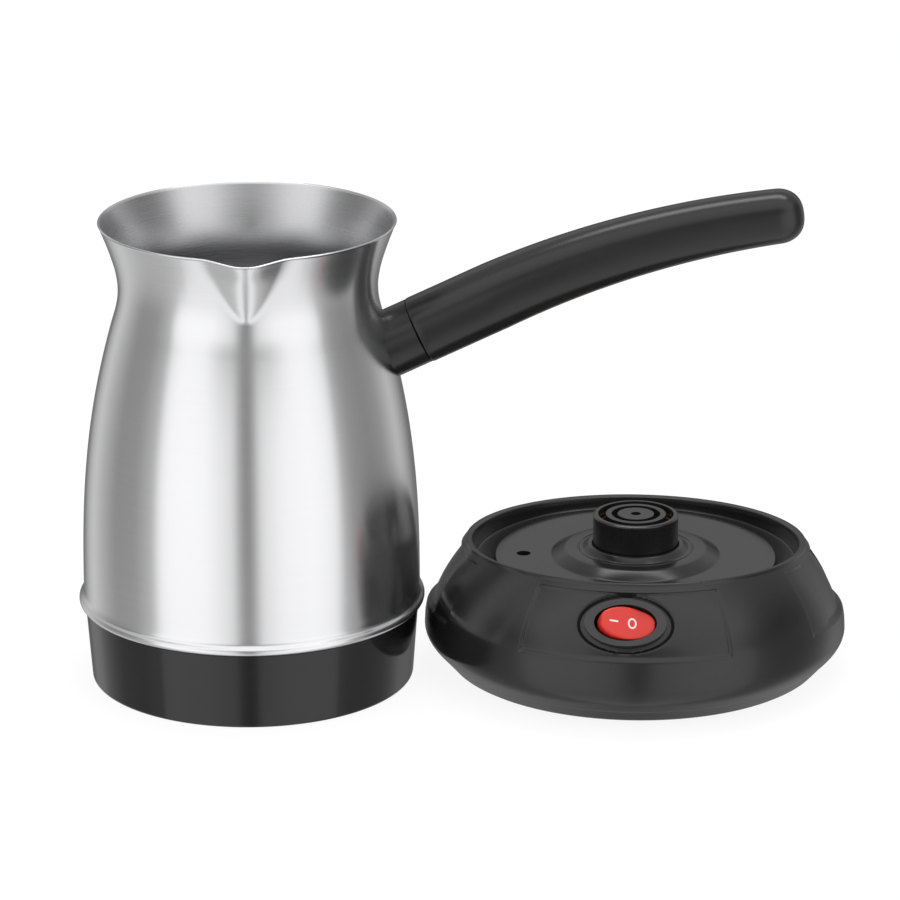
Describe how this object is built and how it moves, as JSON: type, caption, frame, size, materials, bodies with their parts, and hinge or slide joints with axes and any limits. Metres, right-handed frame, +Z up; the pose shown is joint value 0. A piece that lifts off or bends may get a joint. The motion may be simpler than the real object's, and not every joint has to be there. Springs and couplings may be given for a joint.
{
  "type": "electric turkish coffee maker",
  "caption": "Cordless electric cezve: brushed steel pot with a pouring spout, black skirt and long handle, beside its round power base with a red rocker switch.",
  "frame": {"origin": "middle of the set's footprint on the table", "axes": "+Z up, +X from the pot to the base, the spout and the switch face -Y"},
  "size_m": [0.2606, 0.1439, 0.1695],
  "materials": {
    "brushed_steel": "satin, brushed around",
    "floor_steel": "satin",
    "spreader_aluminium": "mill finish",
    "element_sheath": "heat-tinted satin",
    "heatproof_plastic": "matt",
    "contact_brass": "satin",
    "zinc_steel": "bright zinc",
    "bimetal": "satin",
    "ivory_plastic": "satin",
    "lead_insulation": "matt",
    "gloss_black": "gloss",
    "seal_rubber": "matt",
    "satin_black": "satin",
    "handle_black": "satin",
    "base_black": "satin, finely textured",
    "foot_rubber": "matt",
    "spigot_black": "semi-gloss",
    "switch_black": "satin",
    "rocker_red": "gloss, translucent red",
    "lamp_glass": "clear"
  },
  "bodies": {
    "base": {"base_shell": "base_black", "base_bottom": "base_black", "feet": "foot_rubber", "case_screws": "zinc_steel", "spigot_housing": "spigot_black", "spigot_outer_contact": "contact_brass", "spigot_inner_contact": "contact_brass", "spigot_earth_contact": "contact_brass", "spigot_screws": "zinc_steel", "switch_housing": "switch_black", "switch_terminals": "contact_brass", "terminal_block": "ivory_plastic", "terminal_screws": "zinc_steel", "base_leads": "lead_insulation", "cord_gland": "foot_rubber", "cord_clamp": "satin_black", "clamp_screws": "zinc_steel"},
    "pot": {"vessel": "brushed_steel", "heating_plate": "floor_steel", "heat_spreader": "spreader_aluminium", "heating_element": "element_sheath", "element_pins": "element_sheath", "socket_body": "heatproof_plastic", "socket_outer_ring": "contact_brass", "socket_inner_ring": "contact_brass", "earth_pin": "contact_brass", "earth_strap": "contact_brass", "socket_nuts": "zinc_steel", "thermostat_disc": "bimetal", "cutout_terminal": "contact_brass", "element_leads": "lead_insulation", "skirt": "gloss_black", "skirt_gasket": "seal_rubber", "bottom_cover": "satin_black", "cover_screws": "zinc_steel", "handle_bracket": "floor_steel", "handle_collar": "handle_black", "handle_insert": "contact_brass", "handle_grip": "handle_black"},
    "rocker": {"rocker": "rocker_red", "rocker_plunger": "ivory_plastic", "plunger_spring": "zinc_steel", "neon_lamp": "lamp_glass"},
    "contact_lever": {"contact_lever": "contact_brass"},
    "cutout_pin": {"cutout_pin": "ivory_plastic"},
    "cutout_blade": {"cutout_blade": "contact_brass"}
  },
  "joints": [
    {"name": "pot_lift", "type": "slide", "parent": "base", "child": "pot", "axis": [0, 0, 1], "range_m": [0, 0.12]},
    {"name": "rocker_tilt", "type": "hinge", "parent": "base", "child": "rocker", "pos_m": [0.05317, -0.06205, 0.0354], "axis": [-0.0572, -0.6536, -0.7547], "range_deg": [0, 24]},
    {"name": "contact_lever_tilt", "type": "hinge", "parent": "base", "child": "contact_lever", "pos_m": [0.05361, -0.05702, 0.031], "axis": [-0.0572, -0.6536, -0.7547], "range_deg": [-14.4, 0]},
    {"name": "cutout_pin_drop", "type": "slide", "parent": "pot", "child": "cutout_pin", "axis": [0, 0, -1], "range_m": [0, 0.0005], "stiffness_N_per_m": 300},
    {"name": "cutout_blade_bend", "type": "hinge", "parent": "pot", "child": "cutout_blade", "pos_m": [-0.07799, -0.009, 0.0214], "axis": [0, 1, 0], "range_deg": [0, 5]}
  ],
  "couplings": [
    {"joint": "contact_lever_tilt", "follows": "rocker_tilt", "ratio": -0.6},
    {"joint": "cutout_blade_bend", "follows": "cutout_pin_drop", "rad_per_m": 161.3}
  ]
}
